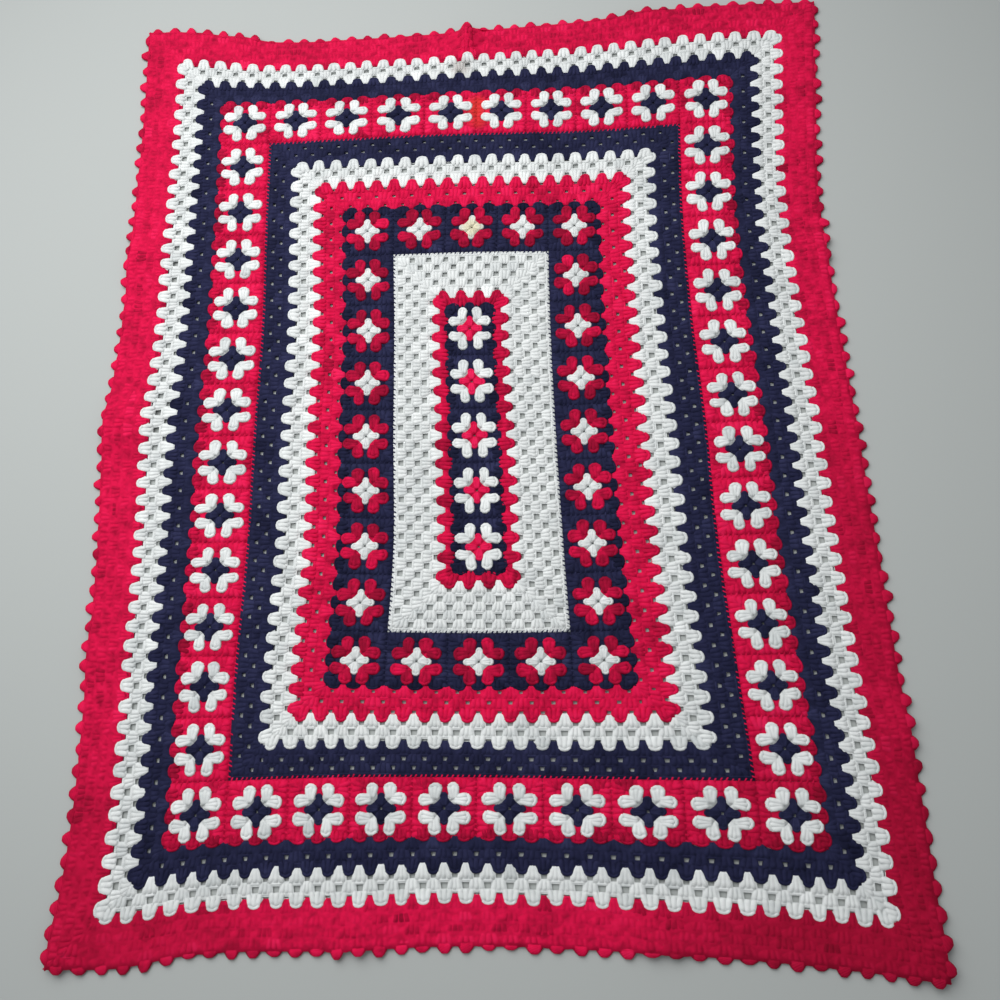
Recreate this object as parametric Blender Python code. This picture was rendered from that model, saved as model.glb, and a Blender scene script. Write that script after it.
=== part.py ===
"""Crocheted granny square blanket, laid out flat with its own slack and soft folds.

The blanket is planned on a lattice that is counted in squares, with 0, 0 at its middle: "across" runs
to the right and "along" runs up the length. A ring is worked round what came before it, either in
rounds of clusters or as a row of granny squares sewn on. lay() takes a place on the lattice to its
place in space, so the pull of the yarn and the folds are the same in every piece. Lengths are in metres.
"""

import bpy
import bmesh
import numpy as np
from mathutils import Vector
from mathutils.geometry import delaunay_2d_cdt

MM = 0.001

# Driving sizes
SQUARE = 80 * MM  # one granny square, seam to seam
CLUSTERS_PER_SQUARE = 3  # clusters along one side of a square
THICKNESS = 4.2 * MM  # worsted yarn worked in double crochet
SEAM_GAP = 0.3 * MM  # between neighbouring pieces
EDGE_POINT = 5 * MM  # how far each point of the border reaches
GAP_WIDE = 11.5 * MM  # a gap between two clusters, at its foot
GAP_NARROW = 6 * MM  # and at its top
GAP_TALL = 5.2 * MM

# Spacing of the points along a seam, in squares, and twice as much where the cloth lies calm
SEAM_STEP = 0.5

# The centre strip: this many squares, one above the other
STRIP_SQUARES = 5
STRIP_HALF_ACROSS = 0.5
STRIP_HALF_ALONG = STRIP_SQUARES / 2

# Rings from the middle outward. A ring of rounds gains one cluster a side with each round.
RINGS = (
    # name, depth in squares, rounds (none in a row of squares), yarn, rounds with cut gaps
    ("centre_red", 0.20, 1, "red_yarn", ()),
    ("centre_white", 0.80, 5, "white_yarn", (2, 3, 4, 5)),
    ("middle_squares", 1.00, 0, "navy_yarn", ()),
    ("middle_red", 0.53, 3, "red_yarn", ()),
    ("middle_white", 0.47, 3, "white_yarn", (2, 3)),
    ("middle_navy", 0.50, 3, "navy_yarn", ()),
    ("outer_squares", 1.00, 0, "red_yarn", ()),
    ("outer_navy", 0.44, 3, "navy_yarn", ()),
    ("outer_white", 0.44, 3, "white_yarn", (2,)),
    ("outer_red", 0.62, 4, "red_yarn", ()),
)
BORDER = "outer_red"
SIDES = ("top", "right", "bottom", "left")

YARNS = {
    # name: (red, green, blue), linear
    "red_yarn": (0.68, 0.006, 0.028),
    "white_yarn": (0.72, 0.76, 0.72),
    "navy_yarn": (0.012, 0.017, 0.085),
}
YARN_ROUGHNESS = 0.9

# How far the worked cloth is pulled to the right, in mm, at seven lines across it.
PULL_ACROSS_AT = (-6.5, -4.5, -2.0, 0.0, 2.0, 4.5, 6.5)
PULL_ACROSS = (
    # along, then: left edge, left squares, left of middle, centre, right of middle, right squares, edge
    (8.5, -8, 0, -1, 2, -2, 5, 16),
    (6.5, -3, 0, 1, 4, -2, -3, 3),
    (4.2, -4, 2, -2, -4, -11, -10, -10),
    (2.0, -7, 4, 4, -8, -11, -6, -2),
    (0.0, -17, 0, 4, -2, -8, 4, 7),
    (-2.0, -10, 0, 6, 3, -2, 9, 15),
    (-4.2, -8, -5, -4, 2, 8, 22, 24),
    (-6.5, -9, -6, -5, -2, 10, 37, 36),
    (-8.5, -22, -12, -6, -2, 12, 34, 40),
)

# How far it is pulled up the length, in mm, at seven lines along it.
PULL_ALONG_AT = (-8.5, -6.5, -4.0, 0.0, 4.0, 6.5, 8.5)
PULL_ALONG = (
    # across, then: bottom edge, bottom squares, below middle, centre, above middle, top squares, top edge
    (-6.5, -16, -4, 6, 0, 3, 2, 20),
    (-5.5, -17, 0, 8, 1, 3, 2, 15),
    (-4.5, -3, 5, 9, 2, 3, 1, -5),
    (-2.0, 3, 11, 0, -5, 2, 3, -13),
    (0.0, 8, 10, -5, -8, 1, 3, -8),
    (2.0, 1, 5, -6, -7, -3, 0, -2),
    (4.5, -15, -3, -2, 1, 5, 6, 16),
    (6.5, -34, -12, -2, 1, 5, 8, 14),
)

# Soft folds that stand up from the cloth: each is a ridge with rounded sides and ends.
FOLDS = (
    # name, across, along, heading in degrees from "across", length, width in squares, height in mm
    ("pinch at the top edge", -0.15, 8.35, 88, 1.7, 0.55, 15),
    ("ruffle low on the left edge", -6.35, 0.35, 12, 2.2, 1.5, 10),
    ("ruffle high on the left edge", -6.4, 3.5, -8, 2.0, 1.4, 8),
    ("ruffle on the lower left edge", -6.5, -3.9, 5, 1.8, 1.6, 6),
    ("slack in the lower left corner", -6.4, -8.2, 52, 2.4, 1.5, 9),
    ("slack in the lower right corner", 6.4, -8.2, -50, 2.8, 1.6, 11),
    ("ruffle on the right edge", 6.5, -5.2, -6, 2.0, 1.5, 7),
    ("ruffle on the upper right edge", 6.5, 3.2, 10, 1.8, 1.4, 6),
    ("ruffle on the bottom edge", -1.8, -8.5, 84, 1.8, 1.4, 6),
    ("slack right of the bottom edge", 2.6, -8.5, 98, 2.0, 1.4, 7),
    ("ruffle left on the top edge", -4.6, 8.5, 95, 1.6, 1.1, 7),
    ("ruffle right on the top edge", 3.4, 8.5, 80, 1.7, 1.3, 6),
)
# Extra points along the seams near the top edge, so that the pinch keeps its shape
PINCH_POINTS = (-0.42, -0.15, 0.12)
PINCH_CLEAR = 0.2
PINCH_FROM = 7.3
# The cloth has no folds inside these half sizes
CALM_ACROSS = 4.2
CALM_ALONG = 6.2


def smooth_read(stations, values, where):
    """Reads a smooth curve through the values at the stations, one row of values for each place."""
    stations = np.asarray(stations, float)
    place = np.clip(where, stations[0], stations[-1])
    values = np.broadcast_to(values, (len(place), len(stations)))
    slopes = np.gradient(values, stations, axis=1)
    left = np.clip(np.searchsorted(stations, place, side="right") - 1, 0, len(stations) - 2)
    row = np.arange(len(place))
    span = stations[left + 1] - stations[left]
    t = (place - stations[left]) / span
    rest = 1 - t
    return (
        values[row, left] * rest * rest * (1 + 2 * t)
        + values[row, left + 1] * t * t * (3 - 2 * t)
        + slopes[row, left] * span * t * rest * rest
        - slopes[row, left + 1] * span * t * t * rest
    )


def pull(table, columns_at, row_place, column_place):
    """Reads one of the pull tables, in metres."""
    rows = np.array(sorted(table))
    by_column = [
        smooth_read(rows[:, 0], rows[:, 1 + column], row_place)
        for column in range(len(columns_at))
    ]
    return MM * smooth_read(columns_at, np.stack(by_column, axis=1), column_place)


def fold_height(across, along):
    """How far the cloth stands off the surface, in metres."""
    height = np.zeros(len(across))
    for _, fold_across, fold_along, heading, length, width, rise in FOLDS:
        turn = np.radians(heading)
        to_right = across - fold_across
        to_top = along - fold_along
        down_ridge = np.abs(to_right * np.cos(turn) + to_top * np.sin(turn)) / (length / 2)
        off_ridge = np.abs(to_top * np.cos(turn) - to_right * np.sin(turn)) / (width / 2)
        down_shape = np.cos(np.minimum(down_ridge, 1) * np.pi / 2) ** 2
        off_shape = np.cos(np.minimum(off_ridge, 1) * np.pi / 2) ** 2
        height += rise * MM * down_shape * off_shape
    return height


def lay(places):
    """Takes places on the lattice to places in space, for the underside of the cloth."""
    across, along = np.asarray(places, float).T
    x = across * SQUARE + pull(PULL_ACROSS, PULL_ACROSS_AT, along, across)
    y = along * SQUARE + pull(PULL_ALONG, PULL_ALONG_AT, across, along)
    return np.stack([x, y, fold_height(across, along)], axis=1)


def on_side(side, points):
    """Turns points that are given as (along the side, out from the middle) onto one side of a ring."""
    turned = {
        "top": [(s, out) for s, out in points],
        "right": [(out, -s) for s, out in points],
        "bottom": [(-s, -out) for s, out in points],
        "left": [(-out, s) for s, out in points],
    }
    return turned[side]


def among_folds(start, end):
    """Whether a seam lies where the cloth has its folds."""
    middle = (np.array(start) + np.array(end)) / 2
    return abs(middle[0]) > CALM_ACROSS or abs(middle[1]) > CALM_ALONG


def stops_between(low, high, step, crosses_pinch):
    """Places for extra points along a seam, so that the pieces on both sides of it bend alike."""
    stops = [count * step for count in range(int(low / step) - 1, int(high / step) + 2)]
    if crosses_pinch:
        left = PINCH_POINTS[0] - PINCH_CLEAR
        right = PINCH_POINTS[-1] + PINCH_CLEAR
        stops = sorted([*(stop for stop in stops if not left < stop < right), *PINCH_POINTS])
    return [stop for stop in stops if low < stop < high]


def seam_points(start, end):
    """Points from one corner of a piece towards the next, without the last."""
    is_level = abs(start[1] - end[1]) < SEAM_GAP / SQUARE
    is_upright = abs(start[0] - end[0]) < SEAM_GAP / SQUARE
    if not is_level and not is_upright:
        return [start]
    moving = 0 if is_level else 1
    line = start[1 - moving]
    step = SEAM_STEP if among_folds(start, end) else 2 * SEAM_STEP
    low, high = sorted((start[moving], end[moving]))
    stops = stops_between(low, high, step, is_level and line > PINCH_FROM)
    if start[moving] > end[moving]:
        stops.reverse()
    return [start] + [(stop, line) if is_level else (line, stop) for stop in stops]


def outline_of(corners):
    """The outline of a piece from its corners."""
    points = []
    for start, end in zip(corners, corners[1:] + corners[:1]):
        points += seam_points(start, end)
    return points


def pointed_edge(clusters, half, end_half, out):
    """The border's outer edge: one small point for each cluster."""
    pitch = 2 * half / clusters
    points = [(-end_half, out)]
    for cluster in range(clusters):
        start = -half + cluster * pitch
        points.append((start + pitch / 2, out + EDGE_POINT / SQUARE))
        points.append((start + pitch, out))
    points[-1] = (end_half, out)
    return points


def gaps_of_round(clusters, half, foot):
    """Every second gap between the clusters of one round, as four-sided holes."""
    pitch = 2 * half / clusters
    wide = GAP_WIDE / SQUARE / 2
    narrow = GAP_NARROW / SQUARE / 2
    high = foot + GAP_TALL / SQUARE
    holes = []
    for gap in range(1 + clusters % 2, clusters, 2):
        middle = -half + gap * pitch
        at_foot = [(middle - wide, foot), (middle + wide, foot)]
        at_top = [(middle + narrow, high), (middle - narrow, high)]
        holes.append(at_foot + at_top)
    return holes


def pierced_faces(outline, holes):
    """Splits a flat outline into triangles, leaving the holes open."""
    loops = [outline, *holes]
    points = [Vector(point) for loop in loops for point in loop]
    faces = []
    start = 0
    for loop in loops:
        faces.append(list(range(start, start + len(loop))))
        start += len(loop)
    places, _, triangles, _, _, drawn_faces = delaunay_2d_cdt(points, [], faces, 1, 1e-6)
    kept = [triangle for triangle, inside in zip(triangles, drawn_faces) if set(inside) == {0}]
    return places, kept


def make_yarn(name):
    yarn = bpy.data.materials.new(name)
    yarn.use_nodes = True
    shader = yarn.node_tree.nodes["Principled BSDF"]
    shader.inputs["Base Color"].default_value = (*YARNS[name], 1)
    shader.inputs["Roughness"].default_value = YARN_ROUGHNESS
    shader.inputs["Metallic"].default_value = 0
    yarn.diffuse_color = (*YARNS[name], 1)
    return yarn


def make_piece(name, yarn, outline, holes=()):
    """A piece of worked cloth: its outline is laid in place and given its thickness."""
    points, faces = pierced_faces(outline, holes)
    places = lay(points)
    origin = Vector(lay([np.mean(outline, axis=0)])[0])
    origin.z = 0
    form = bmesh.new()
    corners = [form.verts.new(Vector(place) - origin) for place in places]
    for face in faces:
        form.faces.new([corners[index] for index in face])
    underside = list(form.faces)
    grown = bmesh.ops.extrude_face_region(form, geom=underside, use_keep_orig=True)
    top = [item for item in grown["geom"] if isinstance(item, bmesh.types.BMVert)]
    bmesh.ops.translate(form, vec=(0, 0, THICKNESS), verts=top)
    bmesh.ops.recalc_face_normals(form, faces=form.faces)
    mesh = bpy.data.meshes.new(name)
    form.to_mesh(mesh)
    form.free()
    mesh.shade_smooth()
    mesh.set_sharp_from_angle(angle=np.radians(40))
    mesh.materials.append(yarn)
    piece = bpy.data.objects.new(name, mesh)
    piece.location = origin
    return piece


def side_outline(side, ring, inner, outer, clusters):
    """One side of a ring: mitred for rounds, and square-ended for a row of squares."""
    name, _, rounds, _, _ = ring
    seam = SEAM_GAP / SQUARE / 2
    diagonal = seam * 2**0.5
    inner_half, inner_out = inner
    outer_half, outer_out = outer
    if rounds:
        inner_end = inner_half + seam - diagonal
        outer_end = outer_half - seam - diagonal
    else:
        inner_end = outer_end = (outer_half if side in ("top", "bottom") else inner_half) - seam
    foot = on_side(side, [(-inner_end, inner_out + seam), (inner_end, inner_out + seam)])
    if name == BORDER:
        edge = pointed_edge(clusters, outer_half, outer_half - diagonal, outer_out)
        return seam_points(*foot) + [foot[1]] + on_side(side, edge)[::-1]
    return outline_of(foot + on_side(side, [(outer_end, outer_out - seam), (-outer_end, outer_out - seam)]))


def clusters_on_squares(half_sizes):
    """How many clusters the edge of a block of squares holds, along a level side and an upright one."""
    return [round(2 * half * CLUSTERS_PER_SQUARE) for half in half_sizes]


def make_ring(ring, inner, outer, clusters, yarn):
    """The four sides of one ring.

    inner and outer are its half sizes (across, along), and clusters says how many clusters the edge that
    it is worked on holds along a level side and along an upright one.
    """
    name, depth, rounds, _, cut_rounds = ring
    pieces = []
    for side in SIDES:
        order = (0, 1) if side in ("top", "bottom") else (1, 0)
        side_inner = [inner[index] for index in order]
        side_outer = [outer[index] for index in order]
        side_clusters = clusters[order[0]]
        outline = side_outline(side, ring, side_inner, side_outer, side_clusters + rounds)
        holes = []
        for number in cut_rounds:
            half = side_inner[0] + number * depth / rounds
            foot = side_inner[1] + (number - 1) * depth / rounds
            holes += gaps_of_round(side_clusters + number, half, foot)
        holes = [on_side(side, hole) for hole in holes]
        pieces.append(make_piece(f"{name}_{side}", yarn, outline, holes))
    return pieces


def make_strip_square(number, yarn):
    """One square of the centre strip, counted from the top."""
    seam = SEAM_GAP / SQUARE / 2
    right = STRIP_HALF_ACROSS - seam
    top = STRIP_HALF_ALONG - number - seam
    bottom = STRIP_HALF_ALONG - number - 1 + seam
    outline = outline_of([(-right, bottom), (right, bottom), (right, top), (-right, top)])
    return make_piece(f"centre_square_{number + 1}", yarn, outline)


def main():
    for item in list(bpy.data.objects):
        bpy.data.objects.remove(item)
    blanket = bpy.data.collections.new("granny_square_blanket")
    bpy.context.scene.collection.children.link(blanket)
    yarns = {name: make_yarn(name) for name in YARNS}

    pieces = [make_strip_square(number, yarns["navy_yarn"]) for number in range(STRIP_SQUARES)]
    inner = (STRIP_HALF_ACROSS, STRIP_HALF_ALONG)
    clusters = clusters_on_squares(inner)
    for ring in RINGS:
        _, depth, rounds, yarn_name, _ = ring
        outer = (inner[0] + depth, inner[1] + depth)
        pieces += make_ring(ring, inner, outer, clusters, yarns[yarn_name])
        if rounds:
            clusters = [count + rounds for count in clusters]
        else:
            clusters = clusters_on_squares(outer)
        inner = outer

    middle = bpy.data.objects.new("blanket_middle", None)
    blanket.objects.link(middle)
    for piece in pieces:
        blanket.objects.link(piece)
        piece.parent = middle
    bpy.context.view_layer.update()
    corners = np.array([piece.matrix_world @ vert.co for piece in pieces for vert in piece.data.vertices])
    low = corners.min(axis=0)
    high = corners.max(axis=0)
    middle.location = (-(low[0] + high[0]) / 2, -(low[1] + high[1]) / 2, -low[2])
    print(f"{len(pieces)} pieces, {high[0] - low[0]:.3f} x {high[1] - low[1]:.3f} m")


main()
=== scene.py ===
# %% [markdown]
# # A granny square blanket, laid out flat
# The blanket is crocheted from worsted yarn in crimson, off-white and navy. A strip of five granny
# squares lies in the middle, and rings are worked or sewn round it: bands of clusters, and rows of
# squares. A cluster is three double crochet stitches worked into one gap, so it has a narrow foot, three
# posts that fan out, and a chain edge along its top.
#
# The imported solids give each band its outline, its folds and its thickness. This script dresses them in
# stitches. Over four thousand clusters are too many to model one by one and too regular to simulate, so
# one cluster is modelled with care and then copied onto every round, bent by the same lattice that the
# solids were planned on.

from collections import namedtuple
from math import atan2, cos, pi, radians, sin

import bpy
import numpy as np
from mathutils import Matrix, Vector


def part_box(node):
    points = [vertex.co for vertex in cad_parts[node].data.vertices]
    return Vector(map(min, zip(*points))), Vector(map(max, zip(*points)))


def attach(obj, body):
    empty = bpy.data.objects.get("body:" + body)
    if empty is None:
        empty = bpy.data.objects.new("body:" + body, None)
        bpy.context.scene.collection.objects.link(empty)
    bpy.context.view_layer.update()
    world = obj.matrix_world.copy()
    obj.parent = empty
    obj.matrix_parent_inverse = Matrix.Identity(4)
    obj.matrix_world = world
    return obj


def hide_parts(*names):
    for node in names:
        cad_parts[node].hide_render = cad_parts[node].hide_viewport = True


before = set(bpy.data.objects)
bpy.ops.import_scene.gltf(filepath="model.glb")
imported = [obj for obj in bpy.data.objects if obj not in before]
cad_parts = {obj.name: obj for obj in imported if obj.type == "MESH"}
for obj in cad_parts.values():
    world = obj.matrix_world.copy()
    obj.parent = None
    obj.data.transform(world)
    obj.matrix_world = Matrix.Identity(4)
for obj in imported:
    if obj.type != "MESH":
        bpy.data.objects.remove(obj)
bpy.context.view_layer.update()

# %% [markdown]
# ## The lattice that the yarn pulls out of square
# The blanket is planned in squares of 80 mm, with 0, 0 at its middle: "across" runs to the right and
# "along" runs up the length. Handmade cloth is never quite square. The two tables say how far it is
# pulled to the right and up the length, in millimetres, and a smooth curve is read between their
# stations. The folds are soft ridges. All of these are the sizes that the solids were built from, so a
# stitch that is placed on the lattice lies in its solid.

# %% The lattice's tables
MM = 0.001
SQUARE = 80 * MM
CLUSTERS_PER_SQUARE = 3

PULL_ACROSS_AT = (-6.5, -4.5, -2.0, 0.0, 2.0, 4.5, 6.5)
PULL_ACROSS = (
    # along, then: left edge, left squares, left of middle, centre, right of middle, right squares, edge
    (8.5, -8, 0, -1, 2, -2, 5, 16),
    (6.5, -3, 0, 1, 4, -2, -3, 3),
    (4.2, -4, 2, -2, -4, -11, -10, -10),
    (2.0, -7, 4, 4, -8, -11, -6, -2),
    (0.0, -17, 0, 4, -2, -8, 4, 7),
    (-2.0, -10, 0, 6, 3, -2, 9, 15),
    (-4.2, -8, -5, -4, 2, 8, 22, 24),
    (-6.5, -9, -6, -5, -2, 10, 37, 36),
    (-8.5, -22, -12, -6, -2, 12, 34, 40),
)
PULL_ALONG_AT = (-8.5, -6.5, -4.0, 0.0, 4.0, 6.5, 8.5)
PULL_ALONG = (
    # across, then: bottom edge, bottom squares, below middle, centre, above middle, top squares, edge
    (-6.5, -16, -4, 6, 0, 3, 2, 20),
    (-5.5, -17, 0, 8, 1, 3, 2, 15),
    (-4.5, -3, 5, 9, 2, 3, 1, -5),
    (-2.0, 3, 11, 0, -5, 2, 3, -13),
    (0.0, 8, 10, -5, -8, 1, 3, -8),
    (2.0, 1, 5, -6, -7, -3, 0, -2),
    (4.5, -15, -3, -2, 1, 5, 6, 16),
    (6.5, -34, -12, -2, 1, 5, 8, 14),
)
FOLDS = (
    # name, across, along, heading in degrees from "across", length, width in squares, height in mm
    ("pinch at the top edge", -0.15, 8.35, 88, 1.7, 0.55, 15),
    ("ruffle low on the left edge", -6.35, 0.35, 12, 2.2, 1.5, 10),
    ("ruffle high on the left edge", -6.4, 3.5, -8, 2.0, 1.4, 8),
    ("ruffle on the lower left edge", -6.5, -3.9, 5, 1.8, 1.6, 6),
    ("slack in the lower left corner", -6.4, -8.2, 52, 2.4, 1.5, 9),
    ("slack in the lower right corner", 6.4, -8.2, -50, 2.8, 1.6, 11),
    ("ruffle on the right edge", 6.5, -5.2, -6, 2.0, 1.5, 7),
    ("ruffle on the upper right edge", 6.5, 3.2, 10, 1.8, 1.4, 6),
    ("ruffle on the bottom edge", -1.8, -8.5, 84, 1.8, 1.4, 6),
    ("slack right of the bottom edge", 2.6, -8.5, 98, 2.0, 1.4, 7),
    ("ruffle left on the top edge", -4.6, 8.5, 95, 1.6, 1.1, 7),
    ("ruffle right on the top edge", 3.4, 8.5, 80, 1.7, 1.3, 6),
)

# %% Reading the lattice


def smooth_read(stations, values, where):
    """Reads a smooth curve through the values at the stations, one row of values for each place."""
    stations = np.asarray(stations, float)
    place = np.clip(where, stations[0], stations[-1])
    values = np.broadcast_to(values, (len(place), len(stations)))
    slopes = np.gradient(values, stations, axis=1)
    left = np.clip(np.searchsorted(stations, place, side="right") - 1, 0, len(stations) - 2)
    row = np.arange(len(place))
    span = stations[left + 1] - stations[left]
    t = (place - stations[left]) / span
    rest = 1 - t
    return (
        values[row, left] * rest * rest * (1 + 2 * t)
        + values[row, left + 1] * t * t * (3 - 2 * t)
        + slopes[row, left] * span * t * rest * rest
        - slopes[row, left + 1] * span * t * t * rest
    )


def pull(table, columns_at, row_place, column_place):
    """Reads one of the pull tables, in metres."""
    rows = np.array(sorted(table))
    by_column = [smooth_read(rows[:, 0], rows[:, 1 + k], row_place) for k in range(len(columns_at))]
    return MM * smooth_read(columns_at, np.stack(by_column, axis=1), column_place)


def fold_height(across, along):
    """How far the cloth stands off the surface, in metres."""
    height = np.zeros(len(across))
    for _, fold_across, fold_along, heading, length, width, rise in FOLDS:
        turn = radians(heading)
        to_right = across - fold_across
        to_top = along - fold_along
        down_ridge = np.abs(to_right * cos(turn) + to_top * sin(turn)) / (length / 2)
        off_ridge = np.abs(to_top * cos(turn) - to_right * sin(turn)) / (width / 2)
        down_shape = np.cos(np.minimum(down_ridge, 1) * pi / 2) ** 2
        off_shape = np.cos(np.minimum(off_ridge, 1) * pi / 2) ** 2
        height += rise * MM * down_shape * off_shape
    return height


def lay(places):
    """Takes places on the lattice to the underside of the cloth, measured from the lattice's middle."""
    across, along = np.asarray(places, float).T
    x = across * SQUARE + pull(PULL_ACROSS, PULL_ACROSS_AT, along, across)
    y = along * SQUARE + pull(PULL_ALONG, PULL_ALONG_AT, across, along)
    return np.stack([x, y, fold_height(across, along)], axis=1)


# The frame's origin is the middle of the blanket's box. The middle square of the strip says how far the
# lattice's own middle lies from it.
SEAM_GAP = 0.3 * MM
SQUARE_HALF = 0.5 - SEAM_GAP / SQUARE / 2
rim = [(x, y) for x in (-SQUARE_HALF, 0, SQUARE_HALF) for y in (-SQUARE_HALF, 0, SQUARE_HALF)]
low, high = (np.array(corner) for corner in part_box("centre_square_3"))
laid = lay(rim)
to_frame = ((low - laid.min(axis=0)) + (high - laid.max(axis=0))) / 2
to_frame[2] = 0
print("from the lattice's middle to the frame, in mm:", np.round(to_frame / MM, 2))

# %% [markdown]
# ## The camera
# The photograph looks down on the blanket from above its lower part, nearly straight down. Its place was
# worked out from the middles of the 73 squares, which lie on a lattice of known size.

# %% Camera
CAMERA_FROM_MIDDLE = Vector((0.1032, -0.4747, 1.3316))
CAMERA_TURN = (radians(15.56), radians(3.22), radians(-0.68))
LENS_MM = 36
SENSOR_MM = 36


def add_object(name, data):
    """An object in the scene, with this mesh, light or camera."""
    item = bpy.data.objects.new(name, data)
    bpy.context.scene.collection.objects.link(item)
    return item


camera = add_object("camera", bpy.data.cameras.new("camera"))
camera.location = CAMERA_FROM_MIDDLE + Vector(to_frame)
camera.rotation_euler = CAMERA_TURN
camera.data.lens = LENS_MM
camera.data.sensor_width = SENSOR_MM
bpy.context.scene.camera = camera
print("camera at", tuple(round(value, 3) for value in camera.location))

# %% [markdown]
# ## Worsted acrylic yarn
# The yarn is spun acrylic, four plies twisted together, about 4 mm thick. It has no gloss of its own:
# its fine fibres scatter light, which Blender's sheen stands in for, and the plies and the fuzz break up
# the surface. The plies run round the strand, so they follow each piece's own UV map, which is measured
# in metres, and the fuzz is a noise in space. A strand in a hand-dyed ball is never one colour all
# along, so each stitch carries its own tone as an attribute.
# The same attribute also carries painted shade: the cloth under the stitches is darker because it lies in
# their shade.

# %% Colour and node helpers


def linear(code):
    """A hex sRGB colour as the linear numbers that a shader wants."""
    channels = [int(code[i : i + 2], 16) / 255 for i in (1, 3, 5)]
    return [c / 12.92 if c <= 0.04045 else ((c + 0.055) / 1.055) ** 2.4 for c in channels] + [1.0]


def add_node(tree, kind, inputs=(), **settings):
    """Adds a node. Each input is (name or number, value or the socket that feeds it)."""
    node = tree.nodes.new(kind)
    for name, value in settings.items():
        setattr(node, name, value)
    for name, value in inputs:
        if isinstance(value, bpy.types.NodeSocket):
            tree.links.new(value, node.inputs[name])
        else:
            node.inputs[name].default_value = value
    return node


# %% The yarn material
PLY_TURN = 1.8 * MM  # one ply's width along the strand, drawn a little coarser than it is, to show
PLY_SLANT = radians(38)
BANDS_PER_UNIT = 3.18  # of a wave texture whose scale is 1
FUZZ_GRAIN = 1.6 * MM  # the fuzz of brushed fibres, also coarser than it is
TUFT = 9 * MM  # the size of the lighter and darker tufts in the pile
DYE_PATCH = 60 * MM  # how far a change of dye reaches
# How much the dye, the painted shade in the grooves between the plies and the tufts change the yarn's
# shade, and what centres it again
DYE_SHARE, PLY_GROOVE_SHADE_SHARE, TUFT_SHARE, SHADE_SHIFT = 0.5, 0.14, 0.9, 0.27
FUZZ_RELIEF = 0.8  # the relief of the fuzz against that of the plies
RELIEF_DEPTH = 0.5 * MM
PATCH_CORE = 0.3  # the part of a patch's reach that has its full colour
TONE = "tone"
YARN_MAP = "yarn"


def add_noise(tree, place, grain, detail=2.0):
    """A noise in space with grains of this size."""
    inputs = [("Vector", place), ("Scale", 1 / grain), ("Detail", detail)]
    return add_node(tree, "ShaderNodeTexNoise", inputs).outputs["Fac"]


def add_scaled(tree, value, factor, base):
    """The value times the factor, plus the base."""
    inputs = [(0, value), (1, factor), (2, base)]
    return add_node(tree, "ShaderNodeMath", inputs, operation="MULTIPLY_ADD").outputs[0]


def worsted_yarn(name, colour, shadow, light, sheen, stains_and_shade_patches=()):
    """Worsted acrylic yarn. shadow and light are the colours of its darkest and lightest stitches.

    A patch is a stain or a spot of painted shade: its place on the lattice, its reach, colour and
    strength.
    """
    material = bpy.data.materials.new(name)
    material.use_nodes = True
    tree = material.node_tree
    shader = tree.nodes["Principled BSDF"]
    for socket, value in (
        ("Roughness", 0.85), ("Sheen Weight", sheen), ("Sheen Roughness", 0.5),
        ("Sheen Tint", linear(light)), ("Specular IOR Level", 0.12),
    ):
        shader.inputs[socket].default_value = value

    place = add_node(tree, "ShaderNodeTexCoord").outputs["Object"]
    strand = add_node(tree, "ShaderNodeUVMap", uv_map=YARN_MAP).outputs["UV"]
    slanted = add_node(tree, "ShaderNodeMapping", [("Vector", strand), ("Rotation", (0, 0, PLY_SLANT))])
    plies = add_node(
        tree,
        "ShaderNodeTexWave",
        [("Vector", slanted.outputs["Vector"]), ("Scale", 1 / PLY_TURN / BANDS_PER_UNIT),
         ("Distortion", 1.2), ("Detail", 1.0), ("Detail Scale", 1.5)],
        wave_type="BANDS",
        bands_direction="Y",
    ).outputs["Fac"]
    tone = add_node(tree, "ShaderNodeAttribute", attribute_name=TONE, attribute_type="GEOMETRY")

    # 0 is the darkest yarn and 1 the lightest: the stitch's own tone, the dye, the painted shade of the
    #                                           grooves between the plies, and the tufts add up.
    level = add_scaled(tree, add_noise(tree, place, DYE_PATCH), DYE_SHARE, tone.outputs["Fac"])
    level = add_scaled(tree, plies, PLY_GROOVE_SHADE_SHARE, level)
    level = add_scaled(tree, add_noise(tree, place, TUFT), TUFT_SHARE, level)
    shifted = add_node(tree, "ShaderNodeMath", [(0, level), (1, SHADE_SHIFT)], operation="SUBTRACT")
    ramp = add_node(tree, "ShaderNodeValToRGB", [("Fac", shifted.outputs[0])])
    ramp.color_ramp.elements[0].color = linear(shadow)
    ramp.color_ramp.elements[1].color = linear(light)
    middle = ramp.color_ramp.elements.new(0.5)
    middle.color = linear(colour)
    yarn_colour_with_painted_shade = ramp.outputs["Color"]
    for where, reach, shade, strength in stains_and_shade_patches:
        centre = tuple((lay([where]) + to_frame)[0])
        away = add_node(tree, "ShaderNodeVectorMath", [(0, place), (1, centre)], operation="DISTANCE")
        near = add_node(
            tree, "ShaderNodeMapRange",
            [("Value", away.outputs["Value"]), ("From Min", PATCH_CORE * reach), ("From Max", reach),
             ("To Min", strength), ("To Max", 0.0)],
            interpolation_type="SMOOTHSTEP",
        )
        patched = add_node(
            tree, "ShaderNodeMixRGB",
            [("Fac", near.outputs["Result"]), ("Color1", yarn_colour_with_painted_shade), ("Color2", linear(shade))],
        )
        yarn_colour_with_painted_shade = patched.outputs["Color"]
    tree.links.new(yarn_colour_with_painted_shade, shader.inputs["Base Color"])

    relief = add_scaled(tree, add_noise(tree, place, FUZZ_GRAIN, 3.0), FUZZ_RELIEF, plies)
    bump = add_node(
        tree, "ShaderNodeBump", [("Strength", 0.7), ("Distance", RELIEF_DEPTH), ("Height", relief)]
    )
    tree.links.new(bump.outputs["Normal"], shader.inputs["Normal"])
    return material


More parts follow.
